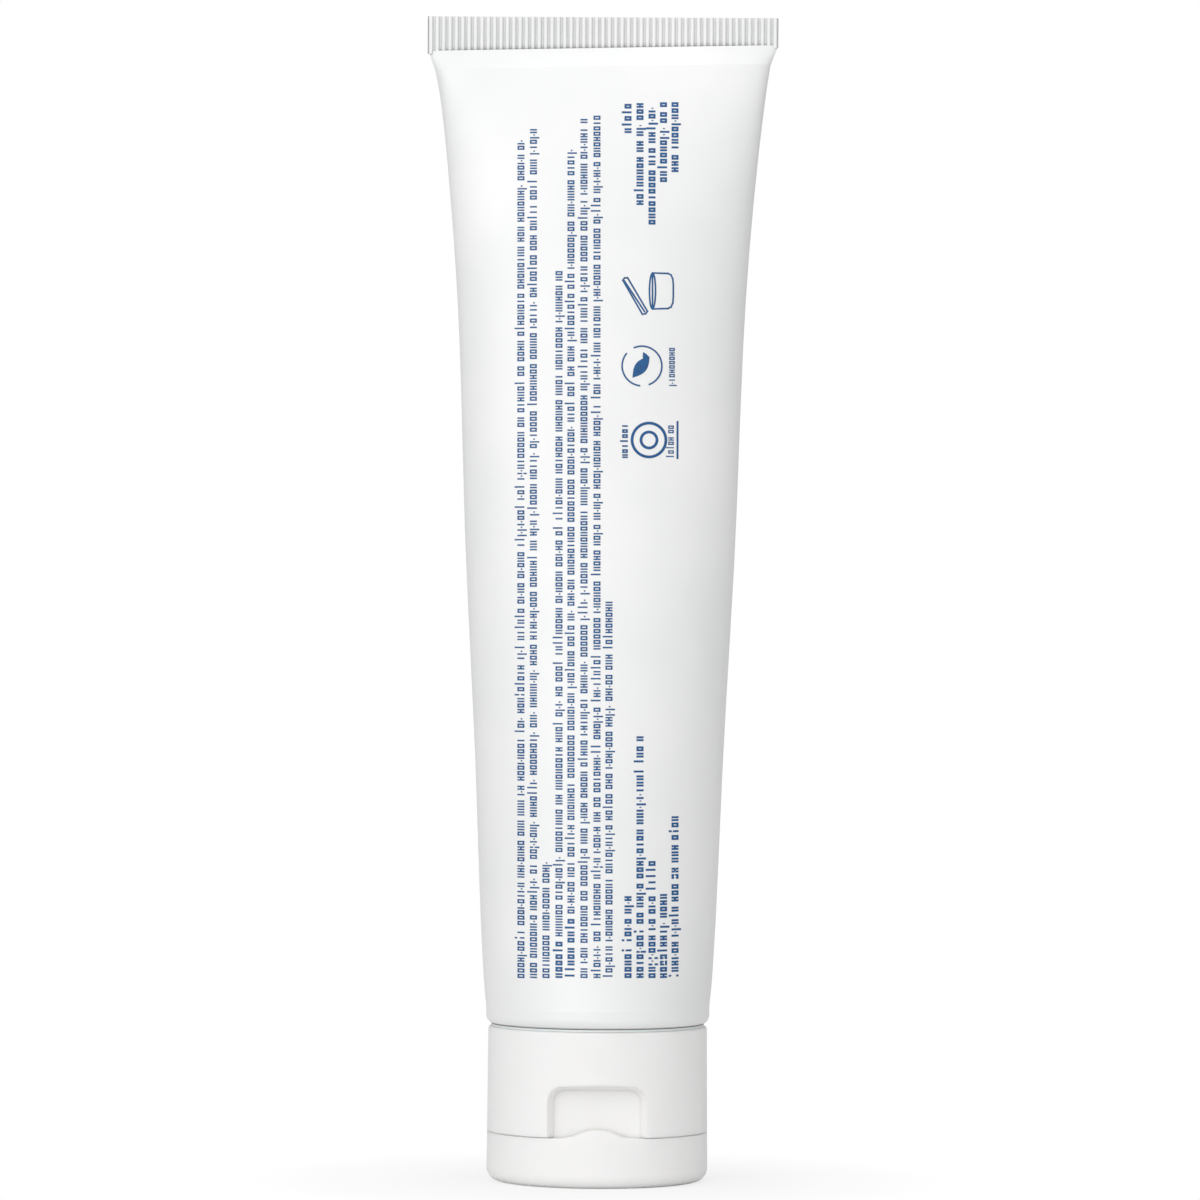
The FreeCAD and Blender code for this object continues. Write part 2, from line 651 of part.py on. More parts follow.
def add_hinge_web(body, low, height, down):
    """Half of the thin web, up to the fold line."""
    sketch = new_sketch(body, f"{body.Label}_web_outline", "XY_Plane", low)
    rectangle(sketch, "(-sizes.hinge_web_width / 2)", f"({HINGE_PLANE} - sizes.hinge_web_wall)",
              "(sizes.hinge_web_width / 2)", HINGE_PLANE)
    return pad(body, f"{body.Label}_web", sketch, height, down)


def make_cap():
    cap = new_body("cap_body")
    collar_inside = f"({NECK_RADIUS} + sizes.thread_clearance)"
    collar_outside = f"({collar_inside} + sizes.thread_collar_wall)"
    collar_top = f"({DECK_TOP} + sizes.thread_collar_height)"
    land_radius = f"({LID_INSIDE} - sizes.lid_clearance)"
    orifice = "(sizes.orifice_diameter / 2)"
    nozzle = "(sizes.nozzle_diameter / 2)"
    revolve(cap, "cap_moulding", [
        (orifice, NOZZLE_TIP),
        (nozzle, NOZZLE_TIP),
        (nozzle, LAND_LOW),
        (land_radius, LAND_LOW),
        (land_radius, CAP_LOW),
        (cap_radius(CAP_LOW), CAP_LOW),
        (RIM_RADIUS, "sizes.cap_height"),
        (f"({RIM_RADIUS} - sizes.cap_wall)", "sizes.cap_height"),
        (f"({cap_radius(DECK_TOP)} - sizes.cap_wall)", DECK_TOP),
        (collar_outside, DECK_TOP),
        (collar_outside, collar_top),
        (collar_inside, collar_top),
        (collar_inside, DECK_TOP),
        (orifice, DECK_TOP),
    ])
    backing = new_sketch(cap, "recess_backing_outline", "XY_Plane", f"({DECK_TOP} - sizes.fuse_overlap)")
    segment_outline(backing, f"({RIM_RADIUS} - sizes.cap_wall / 2)",
                    "(sizes.recess_width / 2 + sizes.recess_wall)",
                    f"(-{RECESS_FLOOR} + sizes.recess_wall)")
    pad(cap, "recess_backing", backing,
        f"({CAP_LOW} + sizes.recess_height + sizes.recess_wall - {DECK_TOP} + sizes.fuse_overlap)")
    surface = recess_outline(cap, "recess_surface", PARTING_RADIUS, "sizes.recess_width",
                             "sizes.recess_height", "sizes.recess_corner")
    floor = recess_outline(cap, "recess_floor", RECESS_FLOOR, "sizes.recess_floor_width",
                           "sizes.recess_floor_height", "sizes.recess_floor_corner")
    recess = cap.newObject("PartDesign::SubtractiveLoft", "thumb_recess")
    recess.Profile = surface
    recess.Sections = [floor]
    recess.Ruled = True
    change_volume(cap, recess, grows=False)
    trim = new_sketch(cap, "land_trim_outline", "XY_Plane", LAND_LOW)
    rectangle(trim, f"-{OUTSIDE}", f"({HINGE_INSIDE} - sizes.lid_clearance)", OUTSIDE, OUTSIDE)
    pocket(cap, "land_trim", trim, "sizes.land_height", up=True)
    front = new_sketch(cap, "land_front_outline", "XY_Plane", LAND_LOW)
    rectangle(front, f"-{OUTSIDE}", f"-{OUTSIDE}", OUTSIDE, f"(sizes.lid_clearance - {LEDGE_BACK})")
    pocket(cap, "land_front", front, "sizes.land_height", up=True)
    cut_hinge_grooves(cap, CAP_LOW, "sizes.hinge_groove")
    cut_hinge_flat(cap, CAP_LOW, "sizes.parting_height")
    add_hinge_web(cap, f"({CAP_LOW} + sizes.hinge_groove)",
                  "(sizes.hinge_groove + sizes.parting_gap / 2 - sizes.hinge_web_gap)", down=True)
    rim = ring_edges(cap.Shape, number(RIM_RADIUS), number("sizes.cap_height"))
    round_edges(cap, "rim_round", cap.Tip, rim, "sizes.cap_rim_round")
    edge = ring_edges(cap.Shape, number(cap_radius(CAP_LOW)), number(CAP_LOW))
    round_edges(cap, "parting_edge", cap.Tip, edge, "sizes.parting_chamfer", "PartDesign::Chamfer")
    tip = ring_edges(cap.Shape, number(nozzle), number(NOZZLE_TIP))
    round_edges(cap, "nozzle_edge", cap.Tip, tip, "sizes.nozzle_round")
    return cap


# Lid

def arch_cut_outline(body, name):
    """All above the lid's rim but the arch: three equal arcs that meet in one smooth bell."""
    sketch = new_sketch(body, name, "XZ_Plane")
    half = number("sizes.thumb_arch_width / 2")
    rise = number("sizes.thumb_arch_rise")
    rim = number(LID_TOP)
    edge = number(OUTSIDE)
    top = rim + rise + number("sizes.tool_overrun")
    radius = (half ** 2 + rise ** 2) / (4 * rise)
    turn = math.asin(half / 2 / radius)
    crown = Part.Circle(Vector(0, rim + rise - radius, 0), Vector(0, 0, 1), radius)
    left_foot = Part.Circle(Vector(-half, rim + radius, 0), Vector(0, 0, 1), radius)
    right_foot = Part.Circle(Vector(half, rim + radius, 0), Vector(0, 0, 1), radius)
    quarter = math.pi / 2
    sketch.addGeometry(Part.LineSegment(Vector(-edge, rim, 0), Vector(-half, rim, 0)))
    sketch.addGeometry(Part.ArcOfCircle(left_foot, 3 * quarter, 3 * quarter + turn))
    sketch.addGeometry(Part.ArcOfCircle(crown, quarter - turn, quarter + turn))
    sketch.addGeometry(Part.ArcOfCircle(right_foot, 3 * quarter - turn, 3 * quarter))
    sketch.addGeometry(Part.LineSegment(Vector(half, rim, 0), Vector(edge, rim, 0)))
    sketch.addGeometry(Part.LineSegment(Vector(edge, rim, 0), Vector(edge, top, 0)))
    sketch.addGeometry(Part.LineSegment(Vector(edge, top, 0), Vector(-edge, top, 0)))
    sketch.addGeometry(Part.LineSegment(Vector(-edge, top, 0), Vector(-edge, rim, 0)))
    for constraint in [(0, 2, 1, 1), (1, 2, 2, 2), (2, 1, 3, 1), (3, 2, 4, 1)]:
        sketch.addConstraint(Sketcher.Constraint("Tangent", *constraint))
    for constraint in [(4, 2, 5, 1), (5, 2, 6, 1), (6, 2, 7, 1), (7, 2, 0, 1)]:
        sketch.addConstraint(Sketcher.Constraint("Coincident", *constraint))
    sketch.addConstraint(Sketcher.Constraint("Equal", 1, 2))
    sketch.addConstraint(Sketcher.Constraint("Equal", 2, 3))
    bind(sketch, "DistanceX", 0, 1, f"-{OUTSIDE}")
    bind(sketch, "DistanceY", 0, 1, LID_TOP)
    bind(sketch, "DistanceX", 0, 2, "(-sizes.thumb_arch_width / 2)")
    bind(sketch, "DistanceY", 0, 2, LID_TOP)
    bind(sketch, "DistanceX", 4, 1, "(sizes.thumb_arch_width / 2)")
    bind(sketch, "DistanceY", 4, 1, LID_TOP)
    bind(sketch, "DistanceX", 5, 1, OUTSIDE)
    bind(sketch, "DistanceY", 5, 1, LID_TOP)
    bind(sketch, "DistanceX", 5, 2, OUTSIDE)
    bind(sketch, "DistanceY", 5, 2, f"({LID_TOP} + sizes.thumb_arch_rise + sizes.tool_overrun)")
    bind(sketch, "DistanceX", 6, 2, f"-{OUTSIDE}")
    bind(sketch, "DistanceY", 6, 2, f"({LID_TOP} + sizes.thumb_arch_rise + sizes.tool_overrun)")
    bind_size(sketch, "Radius", 2, "((sizes.thumb_arch_width / 2)^2 + sizes.thumb_arch_rise^2)"
                                   " / (4 * sizes.thumb_arch_rise)")
    return sketch


def cavity_outline(sketch):
    """The hollow of the lid: a disc cut straight at the ledge in front and at the hinge behind."""
    radius = number(LID_INSIDE)
    front = -number(LEDGE_BACK)
    back = number(HINGE_INSIDE)
    front_x = math.sqrt(radius ** 2 - front ** 2)
    back_x = math.sqrt(radius ** 2 - back ** 2)
    disc = Part.Circle(Vector(0, 0, 0), Vector(0, 0, 1), radius)
    front_turn = math.atan2(front, front_x)
    back_turn = math.atan2(back, back_x)
    sketch.addGeometry(Part.ArcOfCircle(disc, front_turn, back_turn))
    sketch.addGeometry(Part.LineSegment(Vector(back_x, back, 0), Vector(-back_x, back, 0)))
    sketch.addGeometry(Part.ArcOfCircle(disc, math.pi - back_turn, math.pi - front_turn))
    sketch.addGeometry(Part.LineSegment(Vector(-front_x, front, 0), Vector(front_x, front, 0)))
    for constraint in [(0, 2, 1, 1), (1, 2, 2, 1), (2, 2, 3, 1), (3, 2, 0, 1), (0, 3, -1, 1), (2, 3, -1, 1)]:
        sketch.addConstraint(Sketcher.Constraint("Coincident", *constraint))
    bind_size(sketch, "Radius", 0, LID_INSIDE)
    bind(sketch, "DistanceY", 1, 1, HINGE_INSIDE)
    bind(sketch, "DistanceY", 1, 2, HINGE_INSIDE)
    bind(sketch, "DistanceY", 3, 1, f"-{LEDGE_BACK}")
    bind(sketch, "DistanceY", 3, 2, f"-{LEDGE_BACK}")
    return sketch


def make_lid():
    lid = new_body("flip_lid")
    blank_top = f"({LID_TOP} + sizes.thumb_arch_rise)"
    revolve(lid, "lid_blank", [
        ("0", "0"),
        (BASE_RADIUS, "0"),
        (cap_radius(blank_top), blank_top),
        ("0", blank_top),
    ])
    base_edge = ring_edges(lid.Shape, number(BASE_RADIUS), 0)
    round_edges(lid, "lid_edge", lid.Tip, base_edge, "sizes.lid_edge_round")
    pocket(lid, "arch_cut", arch_cut_outline(lid, "arch_cut_outline"))
    above = new_sketch(lid, "arch_end_outline", "XY_Plane", LID_TOP)
    rectangle(above, f"-{OUTSIDE}", f"-{LEDGE_BACK}", OUTSIDE, OUTSIDE)
    pocket(lid, "arch_end", above, "(sizes.thumb_arch_rise + sizes.tool_overrun)", up=True)
    cavity = cavity_outline(new_sketch(lid, "cavity_outline", "XY_Plane", LID_TOP))
    pocket(lid, "cavity", cavity, f"({LID_TOP} - sizes.lid_plate)")
    plug = new_sketch(lid, "plug_outline", "XY_Plane", "(sizes.lid_plate - sizes.fuse_overlap)")
    plug.addGeometry(Part.Circle(Vector(0, 0, 0), Vector(0, 0, 1),
                                 number("sizes.orifice_diameter / 2 - sizes.plug_clearance")))
    plug.addConstraint(Sketcher.Constraint("Coincident", 0, 3, -1, 1))
    bind_size(plug, "Radius", 0, "(sizes.orifice_diameter / 2 - sizes.plug_clearance)")
    pad(lid, "orifice_plug", plug,
        f"({NOZZLE_TIP} + sizes.plug_entry - sizes.lid_plate + sizes.fuse_overlap)")
    cut_hinge_flat(lid, "(-sizes.tool_overrun)", "(sizes.parting_height + 2 * sizes.tool_overrun)")
    cut_hinge_grooves(lid, f"({LID_TOP} - sizes.hinge_groove)", "sizes.hinge_groove")
    add_hinge_web(lid, f"({LID_TOP} - sizes.hinge_groove)",
                  "(sizes.hinge_groove + sizes.parting_gap / 2 - sizes.hinge_web_gap)", down=False)
    edge = ring_edges(lid.Shape, number(cap_radius(LID_TOP)), number(LID_TOP))
    round_edges(lid, "lid_parting_edge", lid.Tip, edge, "sizes.parting_chamfer", "PartDesign::Chamfer")
    tip = ring_edges(lid.Shape, number("sizes.orifice_diameter / 2 - sizes.plug_clearance"),
                     number(f"{NOZZLE_TIP} + sizes.plug_entry"))
    round_edges(lid, "plug_tip", lid.Tip, tip, "sizes.plug_chamfer", "PartDesign::Chamfer")
    return lid


def write_pieces(pieces):
    """Stops on any object that failed, and then writes a file for each piece."""
    doc.recompute()
    for item in doc.Objects:
        if "Invalid" in item.State or "Error" in item.State:
            raise RuntimeError(f"{item.Name} failed: {item.State}")
    for piece in pieces:
        if piece.Shape.isNull() or not piece.Shape.isValid():
            raise RuntimeError(f"{piece.Label} has no valid shape")
    os.makedirs("parts", exist_ok=True)
    for piece in pieces:
        piece.Shape.exportStep(f"parts/{piece.Label}.step")
        print(piece.Label, len(piece.Shape.Solids), round(piece.Shape.Volume / 1000, 3), "cm3")


write_pieces([make_sleeve(), make_head(), make_paste(), make_cap(), make_lid()])
print("hinge line at y", round(number(HINGE_PLANE), 3), "z", number("sizes.parting_height"))
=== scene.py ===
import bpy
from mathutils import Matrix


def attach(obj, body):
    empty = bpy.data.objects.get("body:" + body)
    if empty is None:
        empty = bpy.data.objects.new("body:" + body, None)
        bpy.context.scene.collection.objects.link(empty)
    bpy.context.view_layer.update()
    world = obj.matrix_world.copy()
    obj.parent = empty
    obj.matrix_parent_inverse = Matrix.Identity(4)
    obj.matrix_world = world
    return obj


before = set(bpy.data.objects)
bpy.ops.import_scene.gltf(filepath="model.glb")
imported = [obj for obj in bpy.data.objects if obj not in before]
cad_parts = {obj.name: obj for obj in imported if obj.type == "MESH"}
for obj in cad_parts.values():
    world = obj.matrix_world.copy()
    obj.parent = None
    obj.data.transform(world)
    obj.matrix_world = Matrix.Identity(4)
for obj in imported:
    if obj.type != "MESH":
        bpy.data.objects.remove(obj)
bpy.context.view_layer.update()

import math
import random

import bmesh
import bpy
from bpy.props import FloatProperty, FloatVectorProperty, IntProperty, PointerProperty
from mathutils import Vector
from mathutils.bvhtree import BVHTree

bl_info = {
    "name": "Toothpaste tube finish",
    "version": (1, 0, 0),
    "blender": (4, 5, 0),
    "location": "3D View > Sidebar > Tube",
    "description": "Finishes, printing and studio for a toothpaste tube that stands on its cap",
    "category": "Object",
}

MM = 0.001

# The photograph's frame: 1200 by 1200 pixels

PHOTO_WIDTH = 1200
PIXEL = 0.1703 * MM
FLOOR_ROW = 1180
HORIZON_ROW = 600
MIDDLE_COLUMN = 600
CAMERA_DISTANCE = 1.107
CAMERA_HEIGHT = (FLOOR_ROW - HORIZON_ROW) * PIXEL
CAMERA_ROLL = math.radians(0.32)
CAMERA_PLACE = Vector((0, -CAMERA_DISTANCE, CAMERA_HEIGHT))
SENSOR_WIDTH = 36

# Small steps of measuring, and the depth to which the shoulder's seat runs into the solids beside it

LEVEL_TOLERANCE = 0.01 * MM
SEAT_WALL = 0.6 * MM
SEAT_OVERLAP = 0.05 * MM

# Print: shares of a line's height, of a mark's width or of its stroke

TICK_SHARE = 0.15
HOOK_SHARE = 0.30
PAIR_SHARE = 0.60
TALL_TICK = 1.4
HOOK_DROP = -0.35
THIRD = 0.3
MARK_ADVANCE = 0.79
MARK_WIDTH = 0.76
BOLD_STROKE = 1.35
BOLD_ADVANCE = 1.15
GROUP_SPACE = 0.7
LAST_MARK_ROOM = 0.6
GROUP_SIZES = (2, 9)
SMALL_PRINT = 0.8
CUT_LENGTH = 1.5 * MM
ARC_STEP = 0.35 * MM
LEAF_WIDTH = 0.22

# Studio

KEY_SIZE = (1.3, 1.8)
KEY_PLACE = (-0.82, -1.5, 0.25)
TOP_SIZE = (0.8, 0.8)
TOP_PLACE = (0, 0.1, 1.2)
LIGHT_TARGET = (0, 0, 0.1)
ROOM_FRONT = (-0.15, -1, 0.1)
FLOOR_REACH = 4.0


def sight(column, row):
    """The direction in which the camera sees a place of the photograph."""
    right = (column - MIDDLE_COLUMN) * PIXEL
    up = (HORIZON_ROW - row) * PIXEL
    turn_cos = math.cos(CAMERA_ROLL)
    turn_sin = math.sin(CAMERA_ROLL)
    return Vector((right * turn_cos - up * turn_sin, CAMERA_DISTANCE, right * turn_sin + up * turn_cos))


# Colour and nodes

def linear(hex_colour):
    """An sRGB hex colour as the linear values that Blender's shaders use."""
    channels = [int(hex_colour[index:index + 2], 16) / 255 for index in (0, 2, 4)]
    return tuple(c / 12.92 if c <= 0.04045 else ((c + 0.055) / 1.055) ** 2.4 for c in channels)


def opaque(colour):
    return (*colour, 1.0)


def add_node(tree, kind, inputs=None, **settings):
    """Adds a node, sets its properties, and sets or links its inputs."""
    node = tree.nodes.new(kind)
    for name, value in settings.items():
        setattr(node, name, value)
    for name, value in (inputs or {}).items():
        if isinstance(value, bpy.types.NodeSocket):
            tree.links.new(value, node.inputs[name])
        else:
            node.inputs[name].default_value = value
    return node


def new_material(name):
    """An empty node material with a Principled shader on its output."""
    material = bpy.data.materials.new(name)
    material.use_nodes = True
    tree = material.node_tree
    tree.nodes.clear()
    shader = add_node(tree, "ShaderNodeBsdfPrincipled")
    output = add_node(tree, "ShaderNodeOutputMaterial")
    tree.links.new(shader.outputs["BSDF"], output.inputs["Surface"])
    return material, tree, shader


def waves(tree, size_mm, detail=2.0, stretch=(1, 1, 1)):
    """Noise in the object's own space, whose features are about this many millimetres across."""
    place = add_node(tree, "ShaderNodeTexCoord")
    scaled = add_node(tree, "ShaderNodeMapping", {"Vector": place.outputs["Object"], "Scale": stretch})
    return add_node(tree, "ShaderNodeTexNoise", {
        "Vector": scaled.outputs["Vector"], "Scale": 1 / (size_mm * MM), "Detail": detail, "Roughness": 0.5})


def bump(tree, source, depth_mm, below=None):
    inputs = {"Height": source.outputs["Fac"], "Distance": depth_mm * MM, "Strength": 1.0}
    if below is not None:
        inputs["Normal"] = below.outputs["Normal"]
    return add_node(tree, "ShaderNodeBump", inputs)


def tone(tree, source, dark, light):
    """A faint change of colour between two tones, driven by noise."""
    ramp = add_node(tree, "ShaderNodeValToRGB", {"Fac": source.outputs["Fac"]})
    ramp.color_ramp.elements[0].position = 0.3
    ramp.color_ramp.elements[0].color = opaque(dark)
    ramp.color_ramp.elements[1].position = 0.7
    ramp.color_ramp.elements[1].color = opaque(light)
    return ramp


def painted_crevice_shade(tree, colour, reach_mm, darkest):
    """Painted shade: darkens a colour by ambient occlusion in grooves and corners that are narrower than the
    reach.
    """
    hollow = add_node(tree, "ShaderNodeAmbientOcclusion", {"Distance": reach_mm * MM}, samples=8)
    depth = add_node(tree, "ShaderNodeMapRange", {
        "Value": hollow.outputs["AO"], "From Min": 0.35, "From Max": 0.95, "To Min": darkest, "To Max": 1.0})
    mix = add_node(tree, "ShaderNodeMix", {6: (0, 0, 0, 1), 7: colour.outputs["Color"]}, data_type="RGBA")
    tree.links.new(depth.outputs["Result"], mix.inputs[0])
    return mix.outputs[2]


def spread(tree, source, low, high):
    return add_node(tree, "ShaderNodeMapRange", {
        "Value": source.outputs["Fac"], "From Min": 0.3, "From Max": 0.7, "To Min": low, "To Max": high})


# Materials

def laminate_film(settings):
    """Co-extruded white polyethylene laminate over a foil barrier: a satin film with a broad sheen,
    so it darkens towards its sides, and with slow ripples where the hand and the paste press it."""
    material, tree, shader = new_material("white_laminate_film")
    ripple = waves(tree, 14, detail=1.0, stretch=(1, 1, 0.35))
    grain = waves(tree, 0.5, detail=1.0)
    soft = bump(tree, ripple, 0.12)
    fine = bump(tree, grain, 0.002, soft)
    colour = tone(tree, waves(tree, 22), linear("F2F3F3"), settings.laminate)
    rough = spread(tree, grain, 0.50, 0.56)
    # Painted shade: the film's colour is darkened in the crimp's grooves and in the narrow gap at the sleeve's
    # foot
    tree.links.new(painted_crevice_shade(tree, colour, 0.9, 0.2), shader.inputs["Base Color"])
    tree.links.new(rough.outputs["Result"], shader.inputs["Roughness"])
    tree.links.new(fine.outputs["Normal"], shader.inputs["Normal"])
    shader.inputs["Metallic"].default_value = 0.12
    shader.inputs["IOR"].default_value = 1.51
    return material


def moulded_polypropylene(settings):
    """Injection-moulded white polypropylene: a fine spark-eroded grain and a soft, slightly warm white."""
    material, tree, shader = new_material("moulded_polypropylene")
    grain = waves(tree, 0.35, detail=2.0)
    flow = waves(tree, 9, detail=1.0)
    soft_edge = add_node(tree, "ShaderNodeBevel", {"Radius": 0.45 * MM}, samples=6)
    texture = bump(tree, grain, 0.004, soft_edge)
    colour = tone(tree, flow, linear("F8F7F5"), settings.cap)
    rough = spread(tree, grain, 0.40, 0.50)
    tree.links.new(colour.outputs["Color"], shader.inputs["Base Color"])
    tree.links.new(rough.outputs["Result"], shader.inputs["Roughness"])
    tree.links.new(texture.outputs["Normal"], shader.inputs["Normal"])
    shader.inputs["IOR"].default_value = 1.49
    shader.inputs["Subsurface Weight"].default_value = 0.45
    shader.inputs["Subsurface Radius"].default_value = (1.0, 0.95, 0.9)
    shader.inputs["Subsurface Scale"].default_value = 1.2 * MM
    return material


def natural_polyethylene(settings):
    """Compression-moulded high-density polyethylene of the shoulder: milky, waxy and a little cooler."""
    material, tree, shader = new_material("natural_polyethylene")
    grain = waves(tree, 0.8, detail=2.0)
    texture = bump(tree, grain, 0.006)
    colour = tone(tree, waves(tree, 5), linear("E9EAE9"), linear("F0F1F0"))
    rough = spread(tree, grain, 0.42, 0.55)
    tree.links.new(colour.outputs["Color"], shader.inputs["Base Color"])
    tree.links.new(rough.outputs["Result"], shader.inputs["Roughness"])
    tree.links.new(texture.outputs["Normal"], shader.inputs["Normal"])
    shader.inputs["IOR"].default_value = 1.54
    shader.inputs["Subsurface Weight"].default_value = 0.2
    shader.inputs["Subsurface Scale"].default_value = 1.2 * MM
    return material


def white_paste(settings):
    """Toothpaste: a wet, opaque white with a smooth gloss."""
    material, tree, shader = new_material("white_paste")
    swirl = waves(tree, 2.5, detail=1.0, stretch=(1, 1, 0.2))
    texture = bump(tree, swirl, 0.05)
    colour = tone(tree, swirl, linear("E6F1F0"), linear("F2F8F7"))
    rough = spread(tree, swirl, 0.18, 0.26)
    tree.links.new(colour.outputs["Color"], shader.inputs["Base Color"])
    tree.links.new(rough.outputs["Result"], shader.inputs["Roughness"])
    tree.links.new(texture.outputs["Normal"], shader.inputs["Normal"])
    shader.inputs["IOR"].default_value = 1.45
    shader.inputs["Subsurface Weight"].default_value = 0.25
    shader.inputs["Subsurface Scale"].default_value = 1.5 * MM
    return material


def printing_ink(settings):
    """Flexographic ink under varnish: even blue with the faint mottle of the film below it."""
    material, tree, shader = new_material("printing_ink")
    mottle = waves(tree, 0.6, detail=2.0)
    colour = tone(tree, mottle, linear("0A4C82"), settings.ink)
    rough = spread(tree, mottle, 0.36, 0.46)
    tree.links.new(colour.outputs["Color"], shader.inputs["Base Color"])
    tree.links.new(rough.outputs["Result"], shader.inputs["Roughness"])
    shader.inputs["IOR"].default_value = 1.5
    return material


def studio_white(name, camera_share):
    """Matt studio paper. The camera sees it mostly as pure white, and wholly so away from the tube."""
    material, tree, shader = new_material(name)
    mottle = waves(tree, 30)
    colour = tone(tree, mottle, linear("E4E4E4"), linear("E9E9E9"))
    tree.links.new(colour.outputs["Color"], shader.inputs["Base Color"])
    shader.inputs["Roughness"].default_value = 0.9
    white = add_node(tree, "ShaderNodeEmission", {"Color": (1, 1, 1, 1), "Strength": 1.0})
    place = add_node(tree, "ShaderNodeTexCoord")
    distance = add_node(tree, "ShaderNodeVectorMath", {0: place.outputs["Object"]}, operation="LENGTH")
    far = add_node(tree, "ShaderNodeMapRange", {
        "Value": distance.outputs["Value"], "From Min": 0.02, "From Max": 0.06,
        "To Min": camera_share, "To Max": 1.0})
    share = add_node(tree, "ShaderNodeMath", {
        0: seen_directly(tree), 1: far.outputs["Result"]}, operation="MULTIPLY")
    mix = add_node(tree, "ShaderNodeMixShader", {
        0: share.outputs["Value"], 1: shader.outputs["BSDF"], 2: white.outputs["Emission"]})
    output = next(node for node in tree.nodes if node.bl_idname == "ShaderNodeOutputMaterial")
    tree.links.new(mix.outputs["Shader"], output.inputs["Surface"])
    return material


def seen_directly(tree):
    """1 for rays that the camera sends, straight or through a clear piece."""
    path = add_node(tree, "ShaderNodeLightPath")
    clear = add_node(tree, "ShaderNodeMath", {
        0: path.outputs["Is Camera Ray"], 1: path.outputs["Is Transmission Ray"]}, operation="MAXIMUM")
    return clear.outputs["Value"]


# Properties

class TubeLooks(bpy.types.PropertyGroup):
    """Colours and print sizes of the tube"""

    laminate: FloatVectorProperty(
        name="Laminate", description="Colour of the sleeve's film", subtype="COLOR",
        default=linear("F9F9F9"), min=0, max=1)
    cap: FloatVectorProperty(
        name="Cap", description="Colour of the moulded cap and lid", subtype="COLOR",
        default=linear("FBFAF9"), min=0, max=1)
    ink: FloatVectorProperty(
        name="Ink", description="Colour of the printing", subtype="COLOR",
        default=linear("0D5C97"), min=0, max=1)
    mark_height: FloatProperty(
        name="Mark height", description="Height of the small printed marks", unit="LENGTH",
        default=1.16 * MM, min=0.3 * MM, max=3 * MM)
    stroke: FloatProperty(
        name="Stroke", description="Width of a printed stroke", unit="LENGTH",
        default=0.24 * MM, min=0.05 * MM, max=1 * MM)
    relief: FloatProperty(
        name="Relief", description="How far the ink stands on the film", unit="LENGTH",
        default=0.03 * MM, min=0.005 * MM, max=0.2 * MM)
    seat_inset: FloatProperty(
        name="Seat inset", description="How far the shoulder's seat stays in from the cap's rim", unit="LENGTH",
        default=0.12 * MM, min=0, max=2 * MM)
    seat_gap: FloatProperty(
        name="Seat gap", description="Clearance between the shoulder's seat and the cap's rim", unit="LENGTH",
        default=0.04 * MM, min=0, max=1 * MM)
    seed: IntProperty(
        name="Seed", description="Start of the random order of the printed strokes", default=11, min=0)


class TubeStudio(bpy.types.PropertyGroup):
    """Lights of the studio"""

    key_power: FloatProperty(
        name="Key", description="Power of the large light in front on the left", unit="POWER",
        default=9.3, min=0, max=100)
    top_power: FloatProperty(
        name="Top", description="Power of the light above", unit="POWER", default=3.0, min=0, max=100)
    ambient: FloatProperty(
        name="Ambient", description="Brightness of the room beside and behind the tube", default=0.45,
        min=0, max=2)
    front: FloatProperty(
        name="Front", description="Brightness of the room in front of the tube", default=1.13, min=0, max=2)
    floor_share: FloatProperty(
        name="Floor white", description="How much of the floor the camera sees as pure white",
        subtype="FACTOR", default=0.75, min=0, max=1)


# Seat of the shoulder

def ring_solid(inner, outer, low, high, sides=160):
    """A closed ring about the tube's axis with a rectangular section."""
    corners = ((inner, low), (outer, low), (outer, high), (inner, high))
    places = []
    for index in range(sides):
        turn = math.tau * index / sides
        places += [(radius * math.cos(turn), radius * math.sin(turn), level) for radius, level in corners]
    faces = []
    for index in range(sides):
        here = index * 4
        after = (index + 1) % sides * 4
        for corner in range(4):
            following = (corner + 1) % 4
            faces.append((here + corner, after + corner, after + following, here + following))
    return places, faces


class TUBE_OT_seat(bpy.types.Operator):
    """Adds the ring of the shoulder that shows in the line between the cap's rim and the sleeve"""
    bl_idname = "tube.shoulder_seat"
    bl_label = "Add the shoulder's seat"

    def execute(self, context):
        looks = context.scene.tube_looks
        rim = max(corner.co.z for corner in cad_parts["cap_body"].data.vertices)
        foot = min(corner.co.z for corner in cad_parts["tube_sleeve"].data.vertices)
        reach = max(corner.co.xy.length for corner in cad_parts["cap_body"].data.vertices
                    if corner.co.z > rim - LEVEL_TOLERANCE)
        outer = reach - looks.seat_inset
        places, faces = ring_solid(outer - SEAT_WALL, outer, rim + looks.seat_gap, foot + SEAT_OVERLAP)
        mesh = bpy.data.meshes.new("shoulder_seat")
        mesh.from_pydata(places, [], faces)
        mesh.materials.append(material_named("natural_polyethylene", natural_polyethylene, looks))
        seat = bpy.data.objects.new("shoulder_seat", mesh)
        context.scene.collection.objects.link(seat)
        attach(seat, "tube")
        return {"FINISHED"}


# Printing on the sleeve

